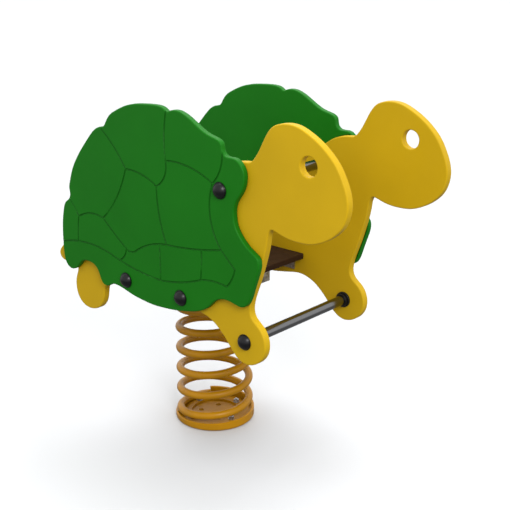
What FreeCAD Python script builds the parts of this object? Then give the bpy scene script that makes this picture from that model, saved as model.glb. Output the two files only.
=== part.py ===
import FreeCAD, Part
import math
import os
from FreeCAD import Vector

# Turtle-shaped spring rider for a playground. Millimetres.
# X runs forward to the head, Y to the rider's left, Z up. The origin is on the
# ground at the centre of the base, on the spring's axis.

# ---- driving sizes: boards ----
PANEL_GAP = 351.0        # clear width between the two yellow side boards
PANEL_T = 19.0           # side board thickness
SHELL_T = 15.0           # shell board thickness
SEAT_T = 15.0            # seat board thickness
SEAT_FRONT = 154.0       # seat front edge
SEAT_LENGTH = 304.0
SEAT_SIDE_GAP = 1.0      # seat to side board, each side
EDGE_R = 3.0             # rounding on every board edge
OUTLINE_SPANS = 12       # edges that each closed outline is divided into
GROOVE_R = 2.2           # round-nosed groove cut in the shell face
GROOVE_DEPTH = 2.0
GROOVE_STEP = 0.03
GROOVE_END_OVER = 0.25
EYE_D = 44.0
EYE_X = 458.0
EYE_Z = 776.0

# ---- driving sizes: spring, base and top ----
COIL_MEAN_R = 90.0
WIRE_D = 20.0
SPRING_H = 382.0         # between the faces of the two round plates
COIL_PITCH = 57.0
HELIX_START_DEG = -179.4
DEAD_DEG = 38.6          # flat stretch of wire at each end
STOP_DEG = 1.0           # wire end to the stop face of its seat ring
WIRE_SEAT_GAP = 0.7
KNUCKLE_OVER = 0.4
PLATE_T = 8.0            # round base plate and round top plate
PLATE_R = 95.0
RING_WALL = 8.3          # rim of the seat ring outside the plate
RING_H = 34.0            # rim's crest at its high end, from the plate's outer face
RING_CREST_RISE = 24.0   # the crest climbs this much in one turn round the ring
RING_SKIRT_GAP = 0.2
FLANGE_T = 5.0           # inner flange of the seat ring
FLANGE_W = 17.5
RING_BORE_GAP = 0.5      # flange wall to the coil's inner side
RING_CHANNEL_GAP = 1.0   # coil's outer side to the channel cut for it in the rim
RING_CREST_IN = 3.2      # fall of the rounded crest at its inner side
RING_CREST_OUT = 6.5     # fall of the rounded crest at its outer side
RING_FOOT_R = 7.0
ANCHOR_HOLE_D = 14.0
ANCHOR_PCD = 76.0
ANCHOR_DEG = 30.0
ANCHOR_COUNT = 4
PLATE_BOLT_D = 8.0
PLATE_BOLT_DEG = -10.0
PLATE_BOLT_COUNT = 4
PLATE_BOLT_TAIL = 3.0    # thread standing out of the nut
HOLE_CLEARANCE = 1.0     # on the diameter

# ---- driving sizes: steel under the seat ----
TRAY_H = 27.0
TRAY_W = 104.0
TRAY_FRONT = 147.0
TRAY_REAR = -145.0
TRAY_SHEET = 5.0
TRAY_BEND_R = 4.0
TRAY_SCREW_X = 100.0
TRAY_SCREW_Y = 30.0
BRACKET_L = 60.0
BRACKET_DROP = 33.0
BRACKET_SHELF = 40.0
BRACKET_T = 4.0
BRACKET_X = 95.0
SEAT_SCREW_D = 8.0
SEAT_SCREW_BITE = 11.0
SEAT_SCREW_DX = 18.0
SEAT_SCREW_IN = 27.0     # from the side board to the screw

# ---- driving sizes: bars and fixings ----
TUBE_D = 25.0
TUBE_WALL = 2.5
COLLAR_D = 40.0
COLLAR_T = 5.0
COLLAR_NECK_D = 33.0
COLLAR_NECK_L = 7.0
COLLAR_GAP = 0.1
PLUG_L = 35.0
BOLT_D = 10.0
BOLT_AF = 17.0
BOLT_HEAD_T = 6.4
BOLT_BITE = 25.0         # bolt length inside the tube plug
NUT_T = 8.4
NUT_TAIL = 4.0
WASHER_D = 20.0
WASHER_T = 2.0
CAP_D = 38.0
CAP_H = 14.0
CAP_RIM = 3.0            # straight rim under the dome
CAP_POCKET_D = 22.0
CAP_POCKET_GAP = 0.5
HANDLE_X = 225.0
HANDLE_Z = 691.0
FOOT_X = 283.0
FOOT_Z = 346.0
LOW_BOLT_DROP = 15.0     # bracket bolt below the seat's underside

# Heights of the board outlines are drawn with the seat's underside at this value.
DRAWN_SEAT_Z = 425.0

# ---- derived heights and widths ----
TOP_PLATE_Z = PLATE_T + SPRING_H
SEAT_Z = TOP_PLATE_Z + PLATE_T + TRAY_H
LIFT = SEAT_Z - DRAWN_SEAT_Z
INNER_Y = PANEL_GAP / 2
PANEL_Y = INNER_Y + PANEL_T
SHELL_Y = PANEL_Y + SHELL_T
RING_R = PLATE_R + RING_SKIRT_GAP + RING_WALL
RING_BORE_R = COIL_MEAN_R - WIRE_D / 2 - RING_BORE_GAP
RING_CHANNEL_R = COIL_MEAN_R + WIRE_D / 2 + RING_CHANNEL_GAP
FLANGE_R = RING_BORE_R - FLANGE_W
PLATE_BOLT_R = RING_BORE_R - FLANGE_W / 2
WIRE_LOW_Z = PLATE_T + WIRE_D / 2 + WIRE_SEAT_GAP
WIRE_HIGH_Z = TOP_PLATE_Z - WIRE_D / 2 - WIRE_SEAT_GAP
HELIX_H = WIRE_HIGH_Z - WIRE_LOW_Z
HELIX_TURN_DEG = HELIX_H / COIL_PITCH * 360.0
WIRE_TOP_DEG = HELIX_START_DEG + HELIX_TURN_DEG
EYE_HEIGHT = EYE_Z + LIFT
HANDLE_HEIGHT = HANDLE_Z + LIFT
FOOT_HEIGHT = FOOT_Z + LIFT
LOW_BOLT_Z = SEAT_Z - LOW_BOLT_DROP

# ---- outlines: named runs that join into one closed smooth curve per board ----
HEAD = [(300, 763), (316, 779), (331, 804), (346, 830), (361, 846), (380, 854),
        (400, 857), (426, 855), (453, 845), (482, 829), (508, 809), (530, 785),
        (546, 757), (556, 731), (559, 706), (555, 684), (546, 664), (530, 646),
        (510, 631), (488, 620), (464, 613), (440, 611), (412, 612), (387, 617),
        (368, 623)]
CHIN = [(368, 623), (359, 623.5), (353, 617)]
CHEST = [(353, 617), (348, 596), (341, 563), (331, 529), (320, 496), (308, 465),
         (301, 442), (299, 425), (303, 411), (313, 400)]
FOOT = [(313, 400), (327, 389), (337, 376), (343, 360), (344, 342), (338, 323),
        (325, 307), (306, 295.5), (286, 291.5), (267, 296), (250, 308), (236, 323),
        (222, 339), (206, 354), (190, 366), (172, 375), (155, 380), (138, 382)]
BELLY = [(138, 382), (112, 379), (60, 370), (0, 366), (-60, 370), (-110, 378),
         (-152, 381), (-180, 376)]
HIND = [(-180, 376), (-196, 362), (-200, 345), (-205, 325), (-217, 307), (-237, 295),
        (-260, 290.5), (-281, 294), (-298, 305), (-309, 322), (-313, 342),
        (-311, 362), (-304, 381), (-302, 393), (-308, 401), (-320, 403)]
TAIL = [(-320, 403), (-340, 401), (-358, 402), (-370, 409), (-374, 420),
        (-367, 434), (-353, 448), (-334, 472), (-310, 505)]
BACK = [(-310, 505), (-275, 550), (-225, 588), (-160, 615), (-90, 630), (-20, 639),
        (50, 648), (112, 668), (166, 699), (213, 733)]
NAPE = [(213, 733), (238, 749), (264, 758), (288, 761), (300, 763)]

SHELL_TOP = [(64, 845), (76, 849), (94, 851), (150, 829), (196, 808), (229, 793)]
SHELL_NECK = [(229, 793), (232, 779), (240, 770), (254, 768), (270, 767),
              (284, 758), (293, 745), (296, 729), (293, 710), (284, 691),
              (272, 674), (265, 655), (265, 634), (272, 611), (284, 595),
              (302, 578), (323, 565), (334, 556), (337, 544)]
SHELL_FRONT = [(337, 544), (330, 513), (319, 482), (308, 452), (298, 439)]
SHELL_BIB = [(298, 439), (284, 434), (262, 437), (240, 440), (218, 436),
             (201, 426), (186, 411), (165, 397), (140, 387), (110, 380),
             (78, 374), (40, 370), (0, 368), (-40, 371), (-80, 377),
             (-112, 385), (-132, 388), (-148, 387), (-160, 381)]
SHELL_ARCH = [(-160, 381), (-171, 377), (-183, 379), (-192, 388), (-198, 402),
              (-206, 415), (-217, 423), (-232, 427), (-248, 427), (-262, 423),
              (-273, 414), (-283, 403), (-295, 395), (-308, 392), (-321, 396),
              (-331, 407)]
SHELL_REAR = [(-331, 407), (-337, 432), (-338, 478), (-335, 518), (-328, 550),
              (-319, 569), (-303, 582)]
SHELL_RUMP = [(-303, 582), (-299, 595), (-301, 608), (-297, 627), (-288, 652),
              (-269, 686), (-244, 718), (-215, 750), (-191, 772), (-170, 781)]
SHELL_BACK = [(-170, 781), (-158, 784), (-149, 795), (-136, 812), (-110, 828),
              (-80, 841), (-50, 849), (-18, 853), (14, 855), (42, 854), (54, 850),
              (64, 845)]

# Grooves cut in the shell face, each an arc through three points.
GROOVES = [
    [(61, 844), (53, 785), (56, 732)],
    [(56, 732), (50, 692), (23, 667)],
    [(56, 732), (130, 729), (203, 703)],
    [(233, 778), (226, 736), (203, 703)],
    [(203, 703), (195, 625), (227, 555)],
    [(227, 555), (140, 539), (52, 531)],
    [(52, 531), (-6, 519), (-55, 494)],
    [(-55, 494), (-74, 487), (-90, 492)],
    [(23, 667), (30, 598), (52, 531)],
    [(-82, 691), (-28, 687), (23, 667)],
    [(-169, 780), (-123, 742), (-82, 691)],
    [(-82, 691), (-117, 617), (-172, 554)],
    [(-172, 554), (-220, 557), (-267, 540)],
    [(-303, 582), (-284, 564), (-267, 540)],
    [(-267, 540), (-272, 507), (-274, 473)],
    [(-172, 554), (-132, 522), (-90, 492)],
    [(-90, 492), (-97, 473), (-112, 459)],
    [(-338, 460), (-250, 476), (-150, 466)],
    [(-150, 466), (-62, 446), (28, 438)],
    [(28, 438), (97, 449), (162, 470)],
    [(162, 470), (202, 476), (243, 473)],
    [(27, 528), (29, 483), (28, 438)],
    [(166, 541), (165, 505), (162, 470)],
    [(227, 555), (247, 537), (268, 518)],
    [(268, 518), (259, 494), (243, 473)],
]


def lifted(points):
    return [Vector(x, 0, z + LIFT) for x, z in points]


def arc_edge(points):
    p = lifted(points)
    return Part.Arc(p[0], p[1], p[2]).toShape()


def closed_curve(runs):
    # One closed smooth curve from runs that share their end points.
    points = []
    for run in runs:
        points += run[1:]
    curve = Part.BSplineCurve()
    curve.interpolate(Points=lifted(points), PeriodicFlag=True)
    first = curve.FirstParameter
    step = (curve.LastParameter - first) / OUTLINE_SPANS
    edges = []
    for i in range(OUTLINE_SPANS):
        edges.append(curve.toShape(first + step * i, first + step * (i + 1)))
    return Part.Wire(edges)


def cylinder_y(x, z, y0, y1, r):
    return Part.makeCylinder(r, y1 - y0, Vector(x, y0, z), Vector(0, 1, 0))


def cylinder_z(x, y, z0, z1, r):
    return Part.makeCylinder(r, z1 - z0, Vector(x, y, z0))


def hex_prism(centre, direction, af, height):
    r = af / math.sqrt(3)
    pts = []
    for i in range(7):
        a = math.radians(60 * i)
        pts.append(Vector(r * math.cos(a), r * math.sin(a), 0))
    solid = Part.Face(Part.makePolygon(pts)).extrude(Vector(0, 0, height))
    chamfer = Part.makeCone(r * 1.6, r * 0.93, height * 1.0)
    solid = solid.common(chamfer)
    turn = FreeCAD.Rotation(Vector(0, 0, 1), direction)
    solid.Placement = FreeCAD.Placement(centre, turn)
    return solid


def round_faces(solid, y_values, r):
    # Round the outline and hole edges that lie in the given planes.
    edges = []
    for edge in solid.Edges:
        box = edge.BoundBox
        for y in y_values:
            if abs(box.YMin - y) < 0.01 and abs(box.YMax - y) < 0.01:
                edges.append(edge)
    return solid.makeFillet(r, edges)


def board(runs, y0, y1, r):
    solid = Part.Face(closed_curve(runs)).extrude(Vector(0, y1 - y0, 0))
    solid.translate(Vector(0, y0, 0))
    return round_faces(solid, (y0, y1), r)


def rounded_hole(x, z, y0, y1, hole_d, r):
    # The space of a hole whose two mouths are rounded by r.
    mouth = hole_d / 2 + r
    slug = cylinder_y(x, z, y0, y1, mouth)
    for y in (y0 + r, y1 - r):
        slug = slug.cut(Part.makeTorus(mouth, r, Vector(x, y, z), Vector(0, 1, 0)))
    sleeve = cylinder_y(x, z, y0 + r, y1 - r, mouth + 1)
    sleeve = sleeve.cut(cylinder_y(x, z, y0, y1, hole_d / 2))
    return slug.cut(sleeve)


def mirrored(solid):
    return solid.mirror(Vector(0, 0, 0), Vector(0, 1, 0))


def both_sides(solid):
    return [solid, mirrored(solid)]


def group(solids):
    return Part.makeCompound(solids)


def shell_bolt_places():
    return [
        (HANDLE_X, HANDLE_HEIGHT),
        (BRACKET_X, LOW_BOLT_Z),
        (-BRACKET_X, LOW_BOLT_Z),
    ]


def bolt_hole(x, z, y0, y1):
    return cylinder_y(x, z, y0 - 1, y1 + 1, (BOLT_D + HOLE_CLEARANCE) / 2)


def side_panel():
    # Built on the left, at positive Y.
    runs = [HEAD, CHIN, CHEST, FOOT, BELLY, HIND, TAIL, BACK, NAPE]
    solid = board(runs, INNER_Y, PANEL_Y, EDGE_R)
    eye = rounded_hole(EYE_X, EYE_HEIGHT, INNER_Y, PANEL_Y, EYE_D, EDGE_R)
    solid = solid.cut(eye)
    for x, z in shell_bolt_places() + [(FOOT_X, FOOT_HEIGHT)]:
        solid = solid.cut(bolt_hole(x, z, INNER_Y, PANEL_Y))
    return solid


def groove_tools(y):
    # A ring sector per groove and a ball at each groove end. Their radii differ
    # by a few hundredths so that no two cutters share a face.
    tools = []
    ends = []
    for i, points in enumerate(GROOVES):
        edge = arc_edge(points)
        edge.translate(Vector(0, y, 0))
        start = edge.valueAt(edge.FirstParameter)
        tangent = edge.tangentAt(edge.FirstParameter)
        circle = Part.Wire(Part.makeCircle(GROOVE_R + GROOVE_STEP * (i % 5), start, tangent))
        sweep = math.degrees(edge.LastParameter - edge.FirstParameter)
        tools.append(Part.Face(circle).revolve(edge.Curve.Center, edge.Curve.Axis, sweep))
        ends += [start, edge.valueAt(edge.LastParameter)]
    kept = []
    for end in ends:
        if all(end.distanceToPoint(other) > 1.0 for other in kept):
            kept.append(end)
            ball_r = GROOVE_R + GROOVE_END_OVER + GROOVE_STEP * (len(kept) % 3)
            tools.append(Part.makeSphere(ball_r, end))
    return tools


def shell_panel():
    runs = [SHELL_TOP, SHELL_NECK, SHELL_FRONT, SHELL_BIB, SHELL_ARCH, SHELL_REAR,
            SHELL_RUMP, SHELL_BACK]
    solid = board(runs, 0, SHELL_T, EDGE_R)
    solid = solid.cut(groove_tools(SHELL_T + GROOVE_R - GROOVE_DEPTH))
    for x, z in shell_bolt_places():
        solid = solid.cut(bolt_hole(x, z, 0, SHELL_T))
    solid.translate(Vector(0, PANEL_Y, 0))
    return solid


def seat_board():
    half = INNER_Y - SEAT_SIDE_GAP
    corner = Vector(SEAT_FRONT - SEAT_LENGTH, -half, SEAT_Z)
    solid = Part.makeBox(SEAT_LENGTH, 2 * half, SEAT_T, corner)
    solid = solid.makeFillet(EDGE_R, solid.Edges)
    for x, y in seat_screw_places() + tray_screw_places():
        solid = solid.cut(cylinder_z(x, y, SEAT_Z - 1, SEAT_Z + SEAT_SCREW_BITE, SEAT_SCREW_D / 2))
    return solid


def seat_screw_places():
    places = []
    for side in (-1, 1):
        for x in (-BRACKET_X, BRACKET_X):
            for dx in (-SEAT_SCREW_DX, SEAT_SCREW_DX):
                places.append((x + dx, side * (INNER_Y - SEAT_SCREW_IN)))
    return places


def tray_screw_places():
    places = []
    for x in (-TRAY_SCREW_X, TRAY_SCREW_X):
        for y in (-TRAY_SCREW_Y, TRAY_SCREW_Y):
            places.append((x, y))
    return places


def seat_bracket(x, side):
    x0 = x - BRACKET_L / 2
    leg_y = INNER_Y - BRACKET_T
    leg = Part.makeBox(BRACKET_L, BRACKET_T, BRACKET_DROP, Vector(x0, leg_y, SEAT_Z - BRACKET_DROP))
    shelf_corner = Vector(x0, INNER_Y - BRACKET_SHELF, SEAT_Z - BRACKET_T)
    shelf = Part.makeBox(BRACKET_L, BRACKET_SHELF, BRACKET_T, shelf_corner)
    solid = leg.fuse(shelf).removeSplitter()
    bends = []
    for edge in solid.Edges:
        box = edge.BoundBox
        if box.XLength < BRACKET_L - 1:
            continue
        outer = abs(box.YMin - INNER_Y) < 0.01 and abs(box.ZMin - SEAT_Z) < 0.01
        inner = abs(box.YMin - leg_y) < 0.01 and abs(box.ZMin - (SEAT_Z - BRACKET_T)) < 0.01
        if outer or inner:
            bends.append(edge)
    solid = solid.makeFillet(BRACKET_T * 0.5, bends)
    solid = solid.cut(bolt_hole(x, LOW_BOLT_Z, leg_y, INNER_Y))
    for sx, sy in seat_screw_places():
        if sy > 0 and abs(sx - x) < BRACKET_L / 2:
            hole_r = (SEAT_SCREW_D + HOLE_CLEARANCE) / 2
            solid = solid.cut(cylinder_z(sx, sy, SEAT_Z - BRACKET_T - 1, SEAT_Z + 1, hole_r))
    if side < 0:
        solid = mirrored(solid)
    return solid


def wood_screw(x, y, shelf_z):
    # Hexagon-head screw driven up from below a shelf.
    washer_r = SEAT_SCREW_D
    shank = cylinder_z(x, y, shelf_z, SEAT_Z + SEAT_SCREW_BITE - 0.5, SEAT_SCREW_D / 2)
    flange = cylinder_z(x, y, shelf_z - 1.5, shelf_z, washer_r)
    head = hex_prism(Vector(x, y, shelf_z - 1.5), Vector(0, 0, -1), 13.0, 5.0)
    return shank.fuse([flange, head])


def support_tray():
    length = TRAY_FRONT - TRAY_REAR
    floor_z = SEAT_Z - TRAY_H
    outer = Part.makeBox(length, TRAY_W, TRAY_H, Vector(TRAY_REAR, -TRAY_W / 2, floor_z))
    bends = [e for e in outer.Edges if e.BoundBox.ZMax > floor_z + 1]
    outer = outer.makeFillet(TRAY_BEND_R, bends)
    s = TRAY_SHEET
    inner = Part.makeBox(length - 2 * s, TRAY_W - 2 * s, TRAY_H, Vector(TRAY_REAR + s, s - TRAY_W / 2, floor_z - s))
    solid = outer.cut(inner)
    for x, y in tray_screw_places():
        hole_r = (SEAT_SCREW_D + HOLE_CLEARANCE) / 2
        solid = solid.cut(cylinder_z(x, y, SEAT_Z - s - 1, SEAT_Z + 1, hole_r))
    return solid


# ---- spring, its seat rings and the two round plates ----
def at_angle(solid, degrees):
    solid.rotate(Vector(0, 0, 0), Vector(0, 0, 1), degrees)
    return solid


def polar_places(count, radius, start_deg):
    places = []
    for i in range(count):
        a = math.radians(start_deg + 360.0 * i / count)
        places.append((radius * math.cos(a), radius * math.sin(a)))
    return places


def helix_sweep(profile, turns_deg, pitch=COIL_PITCH):
    # The path is cut into stretches of at most one turn.
    count = math.ceil(turns_deg / 360.0)
    step = turns_deg / count
    rise = pitch * step / 360.0
    edges = []
    for i in range(count):
        helix = Part.makeHelix(pitch, rise, COIL_MEAN_R)
        helix = at_angle(helix, step * i)
        helix.translate(Vector(0, 0, rise * i))
        edges += helix.Edges
    return Part.Wire(edges).makePipeShell([profile], True, True)


def flat_wire(degrees):
    # A level arc of wire in the plane Z=0 that ends at angle 0.
    circle = Part.Wire(Part.makeCircle(WIRE_D / 2, Vector(COIL_MEAN_R, 0, 0), Vector(0, 1, 0)))
    arc = Part.Face(circle).revolve(Vector(0, 0, 0), Vector(0, 0, 1), -degrees)
    return arc


def wire_knuckle():
    # A ball that closes the bend where the level end meets the rising coil.
    return Part.makeSphere(WIRE_D / 2 + KNUCKLE_OVER, Vector(COIL_MEAN_R, 0, 0))


def coil_spring():
    slope = math.atan2(COIL_PITCH, 2 * math.pi * COIL_MEAN_R)
    normal = Vector(0, math.cos(slope), math.sin(slope))
    circle = Part.Wire(Part.makeCircle(WIRE_D / 2, Vector(COIL_MEAN_R, 0, 0), normal))
    solid = helix_sweep(circle, HELIX_TURN_DEG)
    solid = solid.fuse(wire_knuckle())
    solid = solid.fuse(flat_wire(DEAD_DEG))
    high = wire_knuckle().fuse(flat_wire(DEAD_DEG))
    high.rotate(Vector(0, 0, 0), Vector(1, 0, 0), 180)
    high = at_angle(high, HELIX_TURN_DEG)
    high.translate(Vector(0, 0, HELIX_H))
    solid = solid.fuse(high)
    solid = at_angle(solid, HELIX_START_DEG)
    solid.translate(Vector(0, 0, WIRE_LOW_Z))
    return solid


def ring_profile():
    # Rim outside the plate and flange on the plate, before the rim's crest is cut.
    t = PLATE_T
    rim = PLATE_R + RING_SKIRT_GAP
    blank = RING_H + 2
    pts = [(FLANGE_R, t), (rim, t), (rim, 0), (RING_R, 0), (RING_R, blank), (rim, blank),
           (rim, t + FLANGE_T), (FLANGE_R, t + FLANGE_T)]
    pts = [Vector(r, 0, z) for r, z in pts]
    return Part.Face(Part.makePolygon(pts + [pts[0]]))


def crest_cutter():
    # What lies above the rounded crest; the crest itself is at height 0.
    inner = PLATE_R + RING_SKIRT_GAP
    start = Vector(inner - 1, 0, -RING_CREST_IN - 1)
    end = Vector(RING_R + 1, 0, -RING_CREST_OUT - 2)
    crest = Vector(inner + RING_WALL * 0.4, 0, 0)
    edges = [Part.Arc(start, crest, end).toShape()]
    corners = [end, Vector(end.x, 0, RING_H), Vector(start.x, 0, RING_H), start]
    for a, b in zip(corners, corners[1:]):
        edges.append(Part.LineSegment(a, b).toShape())
    return Part.Wire(edges)


def seat_ring():
    # The rim's crest climbs round the ring and ends in a stop face for the wire.
    ring = ring_profile().revolve(Vector(0, 0, 0), Vector(0, 0, 1), 360)
    foot = [e for e in ring.Edges if e.BoundBox.ZMax < 0.01
            and abs(e.BoundBox.XMax - RING_R) < 0.01]
    ring = ring.makeFillet(RING_FOOT_R, foot)
    stop_deg = HELIX_START_DEG - DEAD_DEG - STOP_DEG
    half_rise = RING_CREST_RISE / 2
    for half in (0, 1):
        tool = helix_sweep(crest_cutter(), 180.0, RING_CREST_RISE)
        tool = at_angle(tool, stop_deg + 180.0 * half)
        tool.translate(Vector(0, 0, RING_H - RING_CREST_RISE + half_rise * half))
        ring = ring.cut(tool)
    under = -WIRE_D / 2 - WIRE_SEAT_GAP
    over = 2 * RING_H
    pts = [Vector(RING_BORE_R, 0, under), Vector(RING_CHANNEL_R, 0, under),
           Vector(RING_CHANNEL_R, 0, over), Vector(RING_BORE_R, 0, over)]
    wire = Part.makePolygon(pts + [pts[0]])
    rise_deg = (RING_H - PLATE_T + 2) / COIL_PITCH * 360.0
    ramp = helix_sweep(wire, rise_deg)
    level_deg = DEAD_DEG + STOP_DEG
    level = Part.Face(wire).revolve(Vector(0, 0, 0), Vector(0, 0, 1), -level_deg)
    for tool in (ramp, level):
        tool = at_angle(tool, HELIX_START_DEG)
        tool.translate(Vector(0, 0, WIRE_LOW_Z))
        ring = ring.cut(tool)
    for x, y in polar_places(PLATE_BOLT_COUNT, PLATE_BOLT_R, PLATE_BOLT_DEG):
        ring = ring.cut(cylinder_z(x, y, 0, RING_H, (PLATE_BOLT_D + HOLE_CLEARANCE) / 2))
    return ring


def round_plate(with_anchor_holes):
    plate = cylinder_z(0, 0, 0, PLATE_T, PLATE_R)
    for x, y in polar_places(PLATE_BOLT_COUNT, PLATE_BOLT_R, PLATE_BOLT_DEG):
        plate = plate.cut(cylinder_z(x, y, -1, PLATE_T + 1, (PLATE_BOLT_D + HOLE_CLEARANCE) / 2))
        cone = Part.makeCone(PLATE_BOLT_D + HOLE_CLEARANCE / 2, PLATE_BOLT_D / 2 + HOLE_CLEARANCE / 2,
                             PLATE_BOLT_D / 2, Vector(x, y, 0))
        plate = plate.cut(cone)
    if with_anchor_holes:
        for x, y in polar_places(ANCHOR_COUNT, ANCHOR_PCD / 2, ANCHOR_DEG):
            plate = plate.cut(cylinder_z(x, y, -1, PLATE_T + 1, ANCHOR_HOLE_D / 2))
    return plate


def plate_stack_z():
    washer_z = PLATE_T + FLANGE_T
    nut_z = washer_z + 1.6
    tail_z = nut_z + 6.5 + PLATE_BOLT_TAIL
    return washer_z, nut_z, tail_z


def plate_bolt(x, y):
    tail_z = plate_stack_z()[2]
    head = Part.makeCone(PLATE_BOLT_D - 0.2, PLATE_BOLT_D / 2, PLATE_BOLT_D / 2 - 0.2, Vector(x, y, 0.2))
    shank = cylinder_z(x, y, PLATE_BOLT_D / 2, tail_z - 1, PLATE_BOLT_D / 2)
    tip = Part.makeCone(PLATE_BOLT_D / 2, PLATE_BOLT_D / 2 - 1, 1, Vector(x, y, tail_z - 1))
    return head.fuse([shank, tip])


def plate_washer(x, y):
    z = plate_stack_z()[0]
    ring = cylinder_z(x, y, z, z + 1.6, PLATE_BOLT_D)
    return ring.cut(cylinder_z(x, y, z - 1, z + 3, PLATE_BOLT_D / 2 + 0.2))


def plate_nut(x, y):
    z = plate_stack_z()[1]
    nut = hex_prism(Vector(x, y, z), Vector(0, 0, 1), 13.0, 6.5)
    return nut.cut(cylinder_z(x, y, z - 1, z + 8, PLATE_BOLT_D / 2))


def plate_group(maker):
    places = polar_places(PLATE_BOLT_COUNT, PLATE_BOLT_R, PLATE_BOLT_DEG)
    return group([maker(x, y) for x, y in places])


def to_top(shape):
    # The top end is the same hardware turned over and matched to the wire's top end.
    turned = shape.copy()
    turned.rotate(Vector(0, 0, 0), Vector(1, 0, 0), 180)
    turned.rotate(Vector(0, 0, 0), Vector(0, 0, 1), WIRE_TOP_DEG + HELIX_START_DEG)
    turned.translate(Vector(0, 0, TOP_PLATE_Z + PLATE_T))
    return turned


# ---- bars, collars, bolts and caps ----
def bar_tube(x, z):
    outer = cylinder_y(x, z, -INNER_Y, INNER_Y, TUBE_D / 2)
    return outer.cut(cylinder_y(x, z, -INNER_Y - 1, INNER_Y + 1, TUBE_D / 2 - TUBE_WALL))


def bar_plug(x, z):
    y0 = INNER_Y - PLUG_L
    plug = cylinder_y(x, z, y0, INNER_Y, TUBE_D / 2 - TUBE_WALL)
    return plug.cut(cylinder_y(x, z, INNER_Y - BOLT_BITE - 3, INNER_Y + 1, BOLT_D / 2))


def bar_collar(x, z):
    flange = cylinder_y(x, z, INNER_Y - COLLAR_T, INNER_Y, COLLAR_D / 2)
    neck = cylinder_y(x, z, INNER_Y - COLLAR_T - COLLAR_NECK_L, INNER_Y - COLLAR_T, COLLAR_NECK_D / 2)
    collar = flange.fuse(neck).removeSplitter()
    rims = []
    for edge in collar.Edges:
        box = edge.BoundBox
        flat = box.YLength < 0.01
        free = abs(box.YMin - INNER_Y) > 0.1
        convex = abs(box.XLength - COLLAR_NECK_D) > 0.1 or box.YMin < INNER_Y - COLLAR_T - 0.1
        if flat and free and convex and box.XLength > COLLAR_NECK_D - 0.1:
            rims.append(edge)
    collar = collar.makeFillet(1.5, rims)
    bore = cylinder_y(x, z, INNER_Y - 50, INNER_Y + 1, TUBE_D / 2 + COLLAR_GAP)
    return collar.cut(bore)


def hex_bolt(x, z, face_y, tip_y):
    head_y = face_y + WASHER_T
    head = hex_prism(Vector(x, head_y, z), Vector(0, 1, 0), BOLT_AF, BOLT_HEAD_T)
    return head.fuse(cylinder_y(x, z, tip_y, head_y, BOLT_D / 2))


def washer(x, z, y0):
    ring = cylinder_y(x, z, y0, y0 + WASHER_T, WASHER_D / 2)
    return ring.cut(cylinder_y(x, z, y0 - 1, y0 + WASHER_T + 1, BOLT_D / 2 + 0.2))


def bracket_nut(x):
    y0 = INNER_Y - BRACKET_T - WASHER_T - NUT_T
    nut = hex_prism(Vector(x, y0 + NUT_T, LOW_BOLT_Z), Vector(0, -1, 0), BOLT_AF, NUT_T)
    return nut.cut(cylinder_y(x, LOW_BOLT_Z, y0 - 1, y0 + NUT_T + 1, BOLT_D / 2))


def dome_cap(x, z, face_y):
    rise = CAP_H - CAP_RIM
    r = CAP_D / 2
    dome_r = (r * r + rise * rise) / (2 * rise)
    pts = [Vector(0, 0, 0), Vector(r, 0, 0), Vector(r, 0, CAP_RIM)]
    top = Vector(0, 0, CAP_H)
    half = math.asin(r / dome_r) / 2
    mid = Vector(dome_r * math.sin(half), 0, CAP_H - dome_r + dome_r * math.cos(half))
    edges = [Part.LineSegment(pts[0], pts[1]).toShape(), Part.LineSegment(pts[1], pts[2]).toShape(),
             Part.Arc(pts[2], mid, top).toShape(), Part.LineSegment(top, pts[0]).toShape()]
    cap = Part.Face(Part.Wire(edges)).revolve(Vector(0, 0, 0), Vector(0, 0, 1), 360)
    rim = [e for e in cap.Edges if abs(e.BoundBox.XLength - CAP_D) < 0.01
           and abs(e.BoundBox.ZMin - CAP_RIM) < 0.01]
    cap = cap.makeFillet(2.0, rim)
    depth = WASHER_T + BOLT_HEAD_T + CAP_POCKET_GAP
    cap = cap.cut(Part.makeCylinder(CAP_POCKET_D / 2, depth))
    cap.Placement = FreeCAD.Placement(Vector(x, face_y, z), FreeCAD.Rotation(Vector(0, 0, 1), Vector(0, 1, 0)))
    return cap


def sides_group(solids):
    out = []
    for solid in solids:
        out += both_sides(solid)
    return group(out)


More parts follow.
